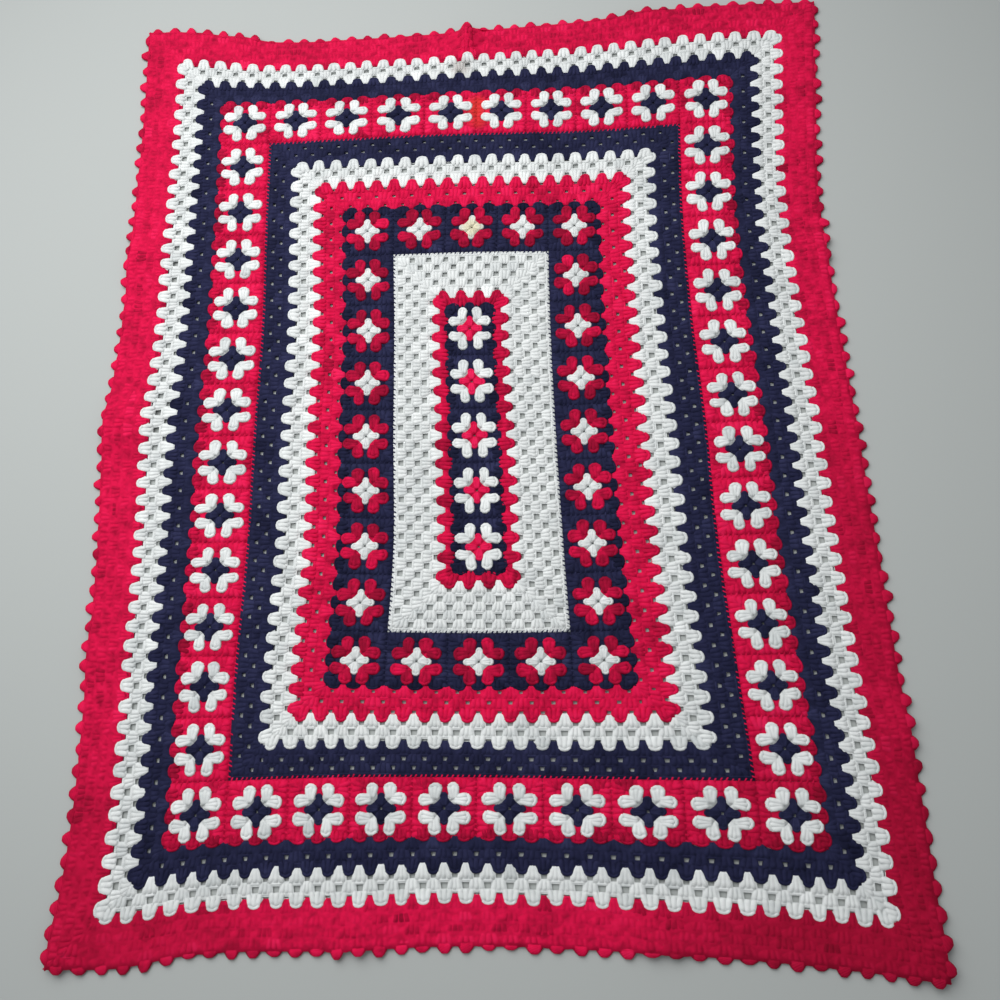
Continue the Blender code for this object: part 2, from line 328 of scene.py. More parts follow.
crimson_yarn = worsted_yarn(
    "crimson_worsted_yarn", "#D60D44", "#8E052B", "#EA2058", sheen=0.1,
    stains_and_shade_patches=[
        ((0.0, 6.62), 26 * MM, "#D8382C", 0.8), ((0.02, 6.3), 22 * MM, "#D8382C", 0.6),
        # painted shade: the lower corners and the right side are darker, where the light falls off
        ((6.4, -8.6), 460 * MM, "#7A031E", 0.6), ((-6.4, -8.6), 340 * MM, "#8A0424", 0.35),
        ((6.8, -2.5), 300 * MM, "#8A0424", 0.35),
    ],
)
white_yarn = worsted_yarn(
    "off_white_worsted_yarn", "#DCDFDE", "#C3C8C8", "#ECEFEE", sheen=0.1,
    # the cream spot is the yarn's own colour; the grey spot at the pinch on the top edge is part stain,
    # part painted shade of the pinch
    stains_and_shade_patches=[((0.0, 4.0), 24 * MM, "#E4D9AE", 0.7), ((-0.3, 7.6), 24 * MM, "#A79E98", 0.6)],
)
navy_yarn = worsted_yarn("navy_worsted_yarn", "#212340", "#12142B", "#313354", sheen=0.12)
YARN = {"red_yarn": crimson_yarn, "white_yarn": white_yarn, "navy_yarn": navy_yarn}
print("yarns:", [material.name for material in YARN.values()])

# %% [markdown]
# ## One cluster
# A double crochet post is a strand wound round itself: thin where it comes out of the gap below, full in
# the middle, and drawn in again under its top chain. It could be a curve with a bevel, but a ring of
# five corners that is extruded and scaled, station by station, gives the same swell with far fewer
# faces, and over four thousand clusters are made from it. Five sides shade round enough at this size.

# %% Drawing a strand out ring by ring
RING_SIDES = 5
GIRTH = 14 * MM  # the way round a post
MIDDLE_HEIGHT = 2.1  # the middle of the cloth's thickness, in mm


def deselect_all():
    bpy.ops.object.select_all(action="DESELECT")


def apply_place():
    """Puts the selected pieces' place, turn and size into their corners."""
    bpy.ops.object.transform_apply(location=True, rotation=True, scale=True)


def edit_all():
    """Opens the active piece for editing, with all of it selected."""
    bpy.ops.object.mode_set(mode="EDIT")
    bpy.ops.mesh.select_all(action="SELECT")


def wind_yarn(piece, around, along):
    """Gives a strand its UV map: one direction is the way round it and the other runs along it."""
    mesh = piece.data
    while mesh.uv_layers:
        mesh.uv_layers.remove(mesh.uv_layers[0])
    layer = mesh.uv_layers.new(name=YARN_MAP)
    for face in mesh.polygons:
        places = [mesh.vertices[corner].co for corner in face.vertices]
        turns = [around(place) / (2 * pi) for place in places]
        for loop, place, turn in zip(face.loop_indices, places, turns):
            near_turn = turn + round(turns[0] - turn)
            layer.data[loop].uv = (near_turn * GIRTH, along(place) * MM)


def draw_strand(name, stations):
    """A strand along Y. Each station is (outward, half width, half thickness), in mm."""
    deselect_all()
    outward, half_width, half_thick = stations[0]
    bpy.ops.mesh.primitive_circle_add(
        vertices=RING_SIDES, radius=1, fill_type="NGON", location=(0, outward, MIDDLE_HEIGHT),
        rotation=(radians(-90), 0, 0),
    )
    strand = bpy.context.object
    strand.name = name
    apply_place()
    edit_all()
    bpy.ops.transform.resize(
        value=(half_width, 1, half_thick), center_override=(0, outward, MIDDLE_HEIGHT)
    )
    for next_outward, next_width, next_thick in stations[1:]:
        bpy.ops.mesh.extrude_region_move(
            TRANSFORM_OT_translate={"value": (0, next_outward - outward, 0)}
        )
        bpy.ops.transform.resize(
            value=(next_width / half_width, 1, next_thick / half_thick),
            center_override=(0, next_outward, MIDDLE_HEIGHT),
        )
        outward, half_width, half_thick = next_outward, next_width, next_thick
    bpy.ops.mesh.select_all(action="SELECT")
    bpy.ops.mesh.normals_make_consistent(inside=False)
    bpy.ops.object.mode_set(mode="OBJECT")
    wind_yarn(strand, lambda p: atan2(p.z - MIDDLE_HEIGHT, p.x), lambda p: p.y)
    return strand


# %% The three posts and the chain edge
FOOT = -8.0  # the foot reaches this far into the round below, in mm
HEAD = 12.6  # and its head is drawn on to this far out, where the round ends
PITCH = SQUARE / CLUSTERS_PER_SQUARE / MM
POST = (
    # outward, half width, half thickness
    (FOOT, 2.2, 1.3),
    (-4.5, 3.5, 2.0),
    (4.0, 4.1, 2.3),
    (10.3, 3.5, 1.6),
)
CHAIN_HALF_THICK = 2.7
CHAIN_FLAT = 0.78  # an arch lies flat, so it is lower than it is wide
CHAIN_END = 0.4  # the thickness of an arch's ends, as a share of its crown's
CHAIN_TUCK = 1.5  # how far they are tucked in, in mm
SAME_TURN = 0.02  # corners whose turns are this near, in radians, are on the same ring of an arch
SAME_PLACE = 0.001  # and corners this near, in mm, are one
BAR_MIDDLE = (1.9, 1.7)  # half width and half thickness of a straight chain edge
BAR_END = (1.2, 1.2)
BAR_TAPER = 3.0
DOME_WIDTH = 20.9  # the widest part of a dome and of a petal, in mm
PETAL_WIDTH = 20.8


def fan_of_posts(stations, side_foot, side_head, side_reach):
    """Three posts. A side post runs from side_foot off the middle to side_head, side_reach far out."""
    posts = [draw_strand("post", stations)]
    lean = atan2(side_head - side_foot, side_reach - FOOT)
    length = ((side_head - side_foot) ** 2 + (side_reach - FOOT) ** 2) ** 0.5
    for side in (-1, 1):
        post = draw_strand("side_post", stations)
        shorten = Matrix.Diagonal((1, length / (stations[-1][0] - FOOT), 1, 1))
        from_foot = Matrix.Translation((0, -FOOT, 0))
        to_foot = Matrix.Translation((side * side_foot, FOOT, 0))
        post.matrix_world = to_foot @ Matrix.Rotation(-side * lean, 4, "Z") @ shorten @ from_foot
        posts.append(post)
    return posts


def select_corners(piece, chosen):
    """Selects the corners that a test picks by their place. The piece is in edit mode."""
    bpy.ops.mesh.select_all(action="DESELECT")
    bpy.ops.object.mode_set(mode="OBJECT")
    for vertex in piece.data.vertices:
        vertex.select = chosen(vertex.co)
    bpy.ops.object.mode_set(mode="EDIT")


def chain_arch(half_span, rise_from, crown, steps):
    """The chain edge of a cluster that the next round pulls down on both sides: an arch."""
    sagitta = crown - rise_from
    radius = (half_span**2 + sagitta**2) / (2 * sagitta)
    centre = crown - radius
    half_turn = atan2(half_span, rise_from - centre)
    deselect_all()
    bpy.ops.mesh.primitive_circle_add(
        vertices=RING_SIDES, radius=CHAIN_HALF_THICK, fill_type="NGON",
        location=(0, crown, MIDDLE_HEIGHT), rotation=(0, radians(90), 0),
    )
    arch = bpy.context.object
    arch.name = "chain_edge"
    apply_place()
    spun = Matrix.Translation((0, centre, 0)) @ Matrix.Rotation(half_turn, 4, "Z")
    arch.matrix_world = spun @ Matrix.Translation((0, -centre, 0))
    apply_place()
    edit_all()
    # with no window, a spin about +Z turns clockwise
    bpy.ops.mesh.spin(steps=steps, angle=2 * half_turn, center=(0, centre, 0), axis=(0, 0, 1))
    bpy.ops.mesh.select_all(action="SELECT")
    bpy.ops.mesh.remove_doubles(threshold=SAME_PLACE)
    bpy.ops.transform.resize(value=(1, 1, CHAIN_FLAT), center_override=(0, 0, MIDDLE_HEIGHT))
    bpy.ops.mesh.normals_make_consistent(inside=False)
    for side in (-1, 1):  # each end is drawn in and tucked under the side post
        select_corners(arch, lambda p: abs(atan2(p.x, p.y - centre) - side * half_turn) < SAME_TURN)
        end = (side * half_span, rise_from, MIDDLE_HEIGHT)
        bpy.ops.transform.resize(value=(CHAIN_END,) * 3, center_override=end)
        bpy.ops.transform.translate(value=(-side * CHAIN_TUCK, -CHAIN_TUCK, 0))
    bpy.ops.object.mode_set(mode="OBJECT")

    def around(place):
        return atan2(place.z - MIDDLE_HEIGHT, ((place.y - centre) ** 2 + place.x**2) ** 0.5 - radius)

    wind_yarn(arch, around, lambda p: atan2(p.x, p.y - centre) * radius)
    return arch


def chain_bar(half_span, outward):
    """The chain edge of a cluster that no foot pulls down: a straight bar from end to end."""
    bar = draw_strand("chain_edge", (
        (-half_span, *BAR_END), (-half_span + BAR_TAPER, *BAR_MIDDLE),
        (half_span - BAR_TAPER, *BAR_MIDDLE), (half_span, *BAR_END),
    ))
    bar.matrix_world = Matrix.Translation((0, outward, 0)) @ Matrix.Rotation(radians(90), 4, "Z")
    return bar


def join_as(name, strands):
    """Joins strands into one model of a stitch."""
    deselect_all()
    for strand in strands:
        strand.select_set(True)
    bpy.context.view_layer.objects.active = strands[0]
    apply_place()
    bpy.ops.object.join()
    joined = bpy.context.object
    joined.name = name
    return joined


CLUSTERS = {
    # in mm: how far the side posts stand off the middle at the foot and at the head, and how far out
    # they reach; then an arch's half span, start, crown and steps, or a bar's half span and place
    "dome": ((6.9, 4.4, 7.8), chain_arch, (6.5, 4.3, 10.8, 6)),
    "petal": ((2.6, 5.8, 8.2), chain_arch, (7.8, 4.2, 10.8, 5)),
    "tooth": ((1.4, 7.2, 10.6), chain_bar, (8.4, 11.0)),
    "block": ((4.6, 7.0, 10.6), chain_bar, (8.2, 11.0)),
    "edge": ((4.6, 7.6, 10.6), chain_bar, (13.6, 11.2)),
    "sewn": ((3.6, 7.6, 11.6), None, ()),
}
models = {}
for kind, (fan, chain, measures) in CLUSTERS.items():
    strands = fan_of_posts(POST, *fan)
    if chain:
        strands.append(chain(*measures))
    models[kind] = join_as(f"{kind}_cluster", strands)
    print(models[kind].name, "faces:", len(models[kind].data.polygons))

# %% [markdown]
# ## Small stitches
# Three more shapes are used again and again. A seam stitch is the slanted strand of a sewn or
# crocheted seam. A ring is the chain that each square was begun on. A point is the little loop that the
# last round makes at each cluster of the border.

# %% Seam stitch, starting ring and border point
STITCH_HALF = 3.4  # half a seam stitch's length, in mm
models["stitch"] = draw_strand("seam_stitch", (
    (-STITCH_HALF, 0.8, 0.7), (-1.8, 1.7, 1.6), (1.8, 1.7, 1.6), (STITCH_HALF, 0.8, 0.7),
))
models["point"] = draw_strand("border_point", (
    (-3.0, 11.5, 1.2), (1.2, 9.4, 2.0), (4.6, 6.6, 1.9), (6.8, 3.6, 1.2),
))

RING_RADIUS = 4.2
RING_STRAND = 1.6
deselect_all()
bpy.ops.mesh.primitive_torus_add(
    major_segments=9, minor_segments=RING_SIDES, major_radius=RING_RADIUS, minor_radius=RING_STRAND,
    location=(0, 0, MIDDLE_HEIGHT),
)
models["ring"] = bpy.context.object
models["ring"].name = "starting_ring"
apply_place()
wind_yarn(
    models["ring"],
    lambda p: atan2(p.z - MIDDLE_HEIGHT, (p.x**2 + p.y**2) ** 0.5 - RING_RADIUS),
    lambda p: atan2(p.y, p.x) * RING_RADIUS,
)
for kind in ("stitch", "point", "ring"):
    print(models[kind].name, "faces:", len(models[kind].data.polygons))

# %% [markdown]
# ## Copying a stitch onto the lattice
# Blender's Array modifier would copy a stitch in a straight line, and here each one leans, swells and
# follows the pull of the cloth. So the model's corners are read once, and every copy is worked out from
# them at once as an array of numbers: a foot and a head on the lattice say where it stands, and lay()
# bends it. The result is one joined mesh for each band. A little unevenness comes from a seeded random
# generator, so the blanket is the same each time.

# %% Reading a model and placing its copies
Shape = namedtuple("Shape", "points corners sizes winding")
Copies = namedtuple("Copies", "shape points tone")
dice = np.random.default_rng(11)


def read_shape(model):
    """Reads a model into arrays, in metres, and clears it from the scene."""
    mesh = model.data
    points = np.array([vertex.co for vertex in mesh.vertices]) * MM
    corners = np.array([corner for face in mesh.polygons for corner in face.vertices])
    sizes = np.array([len(face.vertices) for face in mesh.polygons])
    winding = np.array([item.uv for item in mesh.uv_layers[YARN_MAP].data])
    bpy.data.objects.remove(model)
    return Shape(points, corners, sizes, winding)


SHAPES = {kind: read_shape(model) for kind, model in models.items()}

WOBBLE = 0.5 * MM / SQUARE  # how far a hand-made stitch strays
SWELL = 0.05  # and how much its width and thickness vary
TONE_SPREAD = 0.12  # how much the stitches differ in shade
ROUND_TONE_SPREAD = 0.03  # and how much the rounds do
RIPPLE = 0.35 * MM
CLEARANCE = 0.35 * MM  # keeps the thickest strand off the surface


def ripple(places):
    """The cloth's own slight waviness, in metres, never below the surface."""
    across, along = places.T
    wave = np.sin(2.3 * across + 0.7 * along) + np.sin(1.9 * along - 1.1 * across + 1.3)
    return CLEARANCE + RIPPLE * (1 + wave / 2)


def place_in_frame(flat, above):
    """Takes places on the lattice into the frame, this far above the underside of the cloth."""
    points = lay(flat) + to_frame
    points[:, 2] += ripple(flat) + above
    return points


def place_copies(kind, feet, heads, along_side, foot_y, head_y, width=1.0, tone=0.0, lift=0.0):
    """Copies a shape. foot_y and head_y are its own places, in mm, that go to the feet and heads."""
    shape = SHAPES[kind]
    feet = np.asarray(feet, float) + dice.normal(0, WOBBLE, (len(feet), 2))
    heads = np.asarray(heads, float) + dice.normal(0, WOBBLE, (len(heads), 2))
    count = len(feet)
    widths = width * (1 + dice.normal(0, SWELL, count))
    thickness = 1 + dice.normal(0, SWELL / 2, count)
    tones = tone + dice.normal(0, TONE_SPREAD, count)
    sideways, outward, up = shape.points.T
    rise = (outward / MM - foot_y) / (head_y - foot_y)
    side = np.broadcast_to(np.asarray(along_side, float), (count, 2))
    places = (
        feet[:, None, :]
        + (heads - feet)[:, None, :] * rise[None, :, None]
        + side[:, None, :] * (sideways / SQUARE)[None, :, None] * widths[:, None, None]
    )
    above = lift + (up[None, :] * thickness[:, None]).reshape(-1)
    points = place_in_frame(places.reshape(-1, 2), above)
    return Copies(shape, points.reshape(count, -1, 3), tones)


def joined_mesh(name, all_copies, yarn):
    """One object from many copies."""
    parts = []
    first = 0
    for shape, placed, tone in all_copies:
        count, length = placed.shape[:2]
        starts = first + np.arange(count) * length
        parts.append((
            placed.reshape(-1, 3), (shape.corners[None, :] + starts[:, None]).reshape(-1),
            np.tile(shape.sizes, count), np.tile(shape.winding, (count, 1)), np.repeat(tone, length),
        ))
        first += count * length
    points, corners, sizes, winding, tones = (np.concatenate(column) for column in zip(*parts))
    mesh = bpy.data.meshes.new(name)
    mesh.vertices.add(len(points))
    mesh.vertices.foreach_set("co", points.reshape(-1).astype(np.float32))
    mesh.loops.add(len(corners))
    mesh.loops.foreach_set("vertex_index", corners.astype(np.int32))
    mesh.polygons.add(len(sizes))
    starts = np.concatenate([[0], np.cumsum(sizes)[:-1]])
    mesh.polygons.foreach_set("loop_start", starts.astype(np.int32))
    mesh.update(calc_edges=True)
    mesh.polygons.foreach_set("use_smooth", np.ones(len(sizes), bool))
    layer = mesh.uv_layers.new(name=YARN_MAP)
    layer.data.foreach_set("uv", winding.reshape(-1).astype(np.float32))
    tone_layer = mesh.attributes.new(TONE, "FLOAT", "POINT")
    tone_layer.data.foreach_set("value", tones.astype(np.float32))
    mesh.update()
    mesh.materials.append(YARN[yarn])
    piece = add_object(name, mesh)
    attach(piece, "root")
    return piece


triangle_counts = {}


def count_triangles(piece):
    """Keeps and prints a finished piece's triangles."""
    triangle_counts[piece.name] = sum(len(face.vertices) - 2 for face in piece.data.polygons)
    print(f"{piece.name}: {triangle_counts[piece.name]} triangles")


# %% [markdown]
# ## Rounds
# A round of a band is worked along four sides. On each side the clusters stand at an even pitch, half a
# pitch out of step with the round before, so every foot goes down into the gap between two clusters
# below. At a corner two clusters share one gap, and both lean out of it.

# %% Where the clusters of a round stand
SIDES = ("top", "right", "bottom", "left")
# How far a foot reaches into the round below, and how far the cloth dips with it, in mm: into a row of
# squares, into a round of another colour, and into one of its own colour
SQUARE_DIP = (6.0, 4.0)
DEEP_DIP = (9.5, 8.0)
SHALLOW_DIP = (3.5, 2.6)
DOME_REACH = 2.6 * MM / SQUARE  # how far a dome bulges over the round that is worked into it
DOME_LIFT = 0.8 * MM  # and how much it stands above the flat clusters
CORNER_DIP = 0.045  # a corner cluster's foot, in squares in from the corner of the round below


def on_side(side, points):
    """Turns points that are given as (along the side, out from the middle) onto one side of a ring."""
    points = np.asarray(points, float)
    s, out = points[..., 0], points[..., 1]
    turned = {"top": (s, out), "right": (out, -s), "bottom": (-s, -out), "left": (-out, s)}
    return np.stack(turned[side], axis=-1)


def side_places(along, out):
    """Places as (along the side, out from the middle). Either may be one number for all of them."""
    return np.stack(np.broadcast_arrays(along, out), axis=-1)


def place_on_side(kind, side, feet, heads, foot_y, head_y, middle=(0, 0), **looks):
    """Copies a shape onto one side of a ring round a middle."""
    return place_copies(
        kind, on_side(side, feet) + middle, on_side(side, heads) + middle, on_side(side, (1, 0)),
        foot_y, head_y, **looks,
    )


def side_sizes(side, sizes):
    """Of two sizes (across, along): the one along this side, and the one out to it."""
    return sizes if side in ("top", "bottom") else (sizes[1], sizes[0])


def along_side(half, count):
    """The places of clusters along a side, from end to end."""
    return -half + (np.arange(count) + 0.5) * 2 * half / count


def feet_of(inner_half, inner_out, outer_half, count, dip):
    """The feet of one side's clusters, dip mm into the round below. The end ones stand in corners."""
    feet = side_places(along_side(outer_half, count), inner_out - dip * MM / SQUARE)
    if count > 1:
        feet[[0, -1]] = [(sign * (inner_half - CORNER_DIP), inner_out - CORNER_DIP) for sign in (-1, 1)]
    return feet


def work_round(kind, inner, outer, counts, dip, swell, tone):
    """The clusters of one round. inner and outer are half sizes, counts the clusters on each side."""
    copies = []
    bulge, lift = (DOME_REACH, DOME_LIFT) if kind == "dome" else (0.0, 0.0)
    for side in SIDES:
        inner_half, inner_out = side_sizes(side, inner)
        outer_half, outer_out = side_sizes(side, outer)
        count = side_sizes(side, counts)[0]
        feet = feet_of(inner_half, inner_out, outer_half, count, dip)
        heads = side_places(along_side(outer_half, count), outer_out + bulge)
        width = swell * (2 * outer_half / count * SQUARE / MM) / PITCH
        copies.append(place_on_side(
            kind, side, feet, heads, FOOT, HEAD, width=width, tone=tone, lift=lift
        ))
    return copies


# %% [markdown]
# ## The cloth between the stitches
# Yarn is never stiff enough to leave clean slits between stitches: the backs of the posts and the fuzz
# close them, and only the real gaps of the pattern stay open. So under the clusters of every band lies a
# thin cloth of the same yarn. It is drawn cell by cell, one for each gap, as a ring of faces round a
# hole, and its edge rises over each dome of the round below and dips where a foot goes down. The holes
# are the gaps of the white bands, of which the solids have every second one, and pinholes elsewhere.

# %% Cells of the cloth
CLOTH_THICK = 2.5 * MM
CLOTH_HEIGHT = 1.55 * MM  # the middle of the cloth in the white bands and the squares
CLOSE_HEIGHT = 2.0 * MM  # in the close-worked bands, where the fuzz fills the hollows between the posts
BORDER_HEIGHT = 2.4 * MM  # and in the border, whose yarn is the fuzziest
MERGE = 0.05 * MM  # cells whose corners are this near are one
CLOTH_TONE = -0.12  # it lies in the shade of its stitches
HOLE_LIFT = 0.9  # from the inner edge of a round to its gaps, in mm
# gaps between clusters: width at the foot, width at the head and height, in mm
GAP = (9.0, 7.4, 7.6)
SMALL_GAP = (6.4, 5.0, 4.8)
PINHOLE = (5.6, 4.6, 4.4)
CLOSED_GAP = (0.8, 0.6, 0.6)
FIRST_GAP = 0.85  # a gap of a first round against the others, because a dome below fills part of it


def flat_shape(faces):
    """A shape of flat faces, for copies whose places are worked out one by one."""
    corners = np.concatenate([np.array(face) for face in faces])
    sizes = np.array([len(face) for face in faces])
    return Shape(None, corners, sizes, np.zeros((len(corners), 2)))


# Corners 0 to 5 go round the cell from its lower left, and 6 to 9 round its hole.
CELL = flat_shape([(0, 6, 9, 5), (0, 1, 2, 7, 6), (2, 3, 8, 7), (5, 9, 8, 3, 4)])
CORNER_CELL = flat_shape([(0, 1, 2)])
PLATE = flat_shape([(0, 1, 2, 3)])


def lay_cells(shape, places, height=CLOTH_HEIGHT):
    """Cells as copies. places is an array of cells by corners by (across, along)."""
    points = place_in_frame(places.reshape(-1, 2), height)
    return Copies(shape, points.reshape(len(places), -1, 3), np.full(len(places), CLOTH_TONE))


def cloth_of_side(
    side, inner, outer, counts, hole, dips, seam, hem=0.0, middle=(0, 0), height=CLOTH_HEIGHT
):
    """The cloth of one round on one side. dips are how far its inner and outer edges dip, in mm."""
    inner_half, inner_out = side_sizes(side, inner)
    outer_half, outer_out = side_sizes(side, outer)
    count = side_sizes(side, counts)[0]
    step = outer_half - inner_half
    s = along_side(outer_half, count)
    feet = feet_of(inner_half, inner_out, outer_half, count, dips[0])
    domes_below = along_side(inner_half, count - 1)
    tops = side_places(s, outer_out + hem)
    middles = (s[1:] + s[:-1]) / 2
    if seam:
        along = np.concatenate([[-outer_half - hem], middles, [outer_half + hem]])
        next_feet = side_places(along, outer_out + hem)
    else:
        next_feet = feet_of(outer_half, outer_out, outer_half + step, count + 1, dips[1])
    foot_width, head_width, length = hole
    length = min(length, (outer_out - inner_out) * SQUARE / MM - dips[1] - 2 * HOLE_LIFT)
    low, high = (inner_out + value * MM / SQUARE for value in (HOLE_LIFT, HOLE_LIFT + length))
    at_foot, at_head = (value / 2 * MM / SQUARE for value in (foot_width, head_width))
    cells = np.stack([
        feet[:-1],
        side_places(domes_below, inner_out),
        feet[1:],
        tops[1:],
        next_feet[1:-1],
        tops[:-1],
        side_places(middles - at_foot, low),
        side_places(middles + at_foot, low),
        side_places(middles + at_head, high),
        side_places(middles - at_head, high),
    ], axis=1)
    corner_cells = np.array([[feet[0], tops[0], next_feet[0]], [feet[-1], next_feet[-1], tops[-1]]])
    return [
        lay_cells(CELL, on_side(side, cells) + middle, height),
        lay_cells(CORNER_CELL, on_side(side, corner_cells) + middle, height),
    ]


def finish_cloth(piece):
    """Merges the cells where they meet, maps the yarn flat, and gives the cloth its thickness."""
    deselect_all()
    piece.select_set(True)
    bpy.context.view_layer.objects.active = piece
    edit_all()
    bpy.ops.mesh.remove_doubles(threshold=MERGE)
    bpy.ops.object.mode_set(mode="OBJECT")
    mesh = piece.data
    corners = np.empty(len(mesh.loops), np.int32)
    mesh.loops.foreach_get("vertex_index", corners)
    places = np.empty(len(mesh.vertices) * 3, np.float32)
    mesh.vertices.foreach_get("co", places)
    mesh.uv_layers[YARN_MAP].data.foreach_set("uv", places.reshape(-1, 3)[corners, :2].reshape(-1))
    wall = piece.modifiers.new("cloth_thickness", "SOLIDIFY")
    wall.thickness = CLOTH_THICK
    wall.offset = 0
    bpy.ops.object.modifier_apply(modifier=wall.name)


# %% [markdown]
# ## The bands
# The bands differ in their yarn, in how many rounds they have and in what their last round meets. Where
# the next thing is another round, its feet pull the tops of the clusters into scallops. Where it is a
# seam, the last round keeps its straight chain edge. The white bands are worked loosely enough to show
# gaps, and the red and navy ones close up almost wholly.

# %% Bands from the middle outward
# How wide each kind is worked. White yarn is thin where it leaves gaps, and blooms at another colour.
WHITE_WIDTHS = {"dome": 1.08, "tooth": 1.0, "block": 0.87, "edge": 0.87}
CLOSE_WIDTHS = {"dome": 0.97, "tooth": 1.0, "block": 1.08, "edge": 1.08}
BORDER = "outer_red"
POINT_HEIGHTS = {"top": 7.0, "left": 8.0, "bottom": 7.0, "right": 7.5}  # of its points, in mm
POINT_SPREAD = 0.2  # how much they vary
POINT_REACH = 7.0  # what a modelled point's height is taken as, in mm
POINT_LIFT = 0.5 * MM  # a point lies on the last round
CLOTH_HEIGHTS = {"red_yarn": CLOSE_HEIGHT, "white_yarn": CLOTH_HEIGHT, "navy_yarn": CLOSE_HEIGHT}
EDGE_ROW = 0.04  # the narrow row past the last round of a panel that ends at a seam, in squares

BANDS = (
    # name, inner half sizes, depth in squares, rounds, yarn, last round, edge row, gaps, their rounds
    ("centre_red", (0.5, 2.5), 0.20, 1, "red_yarn", "dome", 0.0, CLOSED_GAP, ()),
    ("centre_white", (0.7, 2.7), 0.76, 5, "white_yarn", "edge", EDGE_ROW, GAP, (1, 2, 3, 4, 5)),
    ("middle_red", (2.5, 4.5), 0.53, 3, "red_yarn", "dome", 0.0, PINHOLE, (1, 2, 3)),
    ("middle_white", (3.03, 5.03), 0.47, 3, "white_yarn", "dome", 0.0, GAP, (1, 2, 3)),
    ("middle_navy", (3.5, 5.5), 0.46, 3, "navy_yarn", "edge", EDGE_ROW, SMALL_GAP, (2, 3)),
    ("outer_navy", (5.0, 7.0), 0.44, 3, "navy_yarn", "dome", 0.0, SMALL_GAP, (2,)),
    ("outer_white", (5.44, 7.44), 0.44, 3, "white_yarn", "dome", 0.0, GAP, (1, 2, 3)),
    (BORDER, (5.88, 7.88), 0.62, 4, "red_yarn", "edge", 0.0, CLOSED_GAP, ()),
)
TONES = {
    "centre_red": -0.2, BORDER: -0.08, "centre_squares_first_round": 0.3,
    "middle_squares_second_round": -0.35,
}
GAP_SIDES = {"outer_navy": ("right", "bottom", "left")}  # others: all four
BLOCK_COUNTS = {"centre_red": (3, 15), "middle_red": (15, 27), "outer_navy": (30, 42)}

counts = (0, 0)
for name, inner, depth, rounds, yarn, last, edge_row, gap, gap_rounds in BANDS:
    on_squares = name in BLOCK_COUNTS
    counts = BLOCK_COUNTS.get(name, counts)
    widths = WHITE_WIDTHS if yarn == "white_yarn" else CLOSE_WIDTHS
    height = BORDER_HEIGHT if name == BORDER else CLOTH_HEIGHTS[yarn]
    clusters, cells = [], []
    for number in range(1, rounds + 1):
        counts = (counts[0] + 1, counts[1] + 1)
        foot = [half + (number - 1) * depth / rounds for half in inner]
        head = [half + number * depth / rounds for half in inner]
        kind = last if number == rounds else "tooth" if number == 1 else "block"
        below = SHALLOW_DIP if number > 1 else SQUARE_DIP if on_squares else DEEP_DIP
        above = DEEP_DIP if kind == "dome" else SHALLOW_DIP
        tone = TONES.get(name, 0.0) + dice.normal(0, ROUND_TONE_SPREAD)
        clusters += work_round(kind, foot, head, counts, below[0], widths[kind], tone)
        at_seam = kind == "edge"
        for side in SIDES:
            open_here = number in gap_rounds and side in GAP_SIDES.get(name, SIDES)
            hole = gap if open_here else CLOSED_GAP
            if number == 1:
                hole = [size * FIRST_GAP for size in hole]
            cells += cloth_of_side(
                side, foot, head, counts, hole, (below[1], above[1]), at_seam, edge_row * at_seam,
                height=height,
            )
    if name == BORDER:
        for side in SIDES:
            rim_half, rim_out = side_sizes(side, head)
            count = side_sizes(side, counts)[0]
            feet = side_places(along_side(rim_half, count), rim_out)
            heights = POINT_HEIGHTS[side] * (1 + dice.normal(0, POINT_SPREAD, count))
            heads = feet + side_places(0.0, heights * MM / SQUARE)
            clusters.append(place_on_side(
                "point", side, feet, heads, 0.0, POINT_REACH, tone=TONES[name], lift=POINT_LIFT
            ))
    worked = joined_mesh(f"{name}_clusters", clusters, yarn)
    cloth = joined_mesh(f"{name}_cloth", cells, yarn)
    finish_cloth(cloth)
    nodes = [f"{name}_{side}" for side in SIDES]
    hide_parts(*nodes)
    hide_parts(*nodes)
    count_triangles(worked)
    count_triangles(cloth)

# %% [markdown]
# ## The squares
# Every square has the same three rounds: four clusters into the starting ring, eight in pairs at the
# corners, and twelve. The pairs of the second round stand apart over the middles of the sides, which
# leaves the first round showing as a star between them. The last round has straight chain edges on the
# sides that are sewn to a neighbour.

# %% Working one square
ROUND_ENDS = (0.035, 0.24, 0.408, 0.5)
STAR_WIDTH = 12.6  # a cluster's width in the first round, in mm
PETAL_SPREAD = {"centre_squares": 18.6, "middle_squares": 20.6, "outer_squares": 19.4}  # in the second
PETAL_LIFT = 1.35 * MM  # those petals lie over the feet of the third round
FREE_WIDTH = 22.0  # and in the third, on a side that no square is sewn to
FREE_SHADE = -0.3  # the free clusters lie a little lower and darker
SEWN_SWELL = 1.12  # how wide the clusters at a seam are worked
PLATE_FROM = 0.16  # where the cloth inside the last round begins
SQUARE_FEET = (0.0, 0.15, 0.31)  # where a corner cluster stands, across and along from the middle
SQUARE_HEADS = ((0.0,), (-0.137, 0.137), (-0.31, 0.0, 0.31))


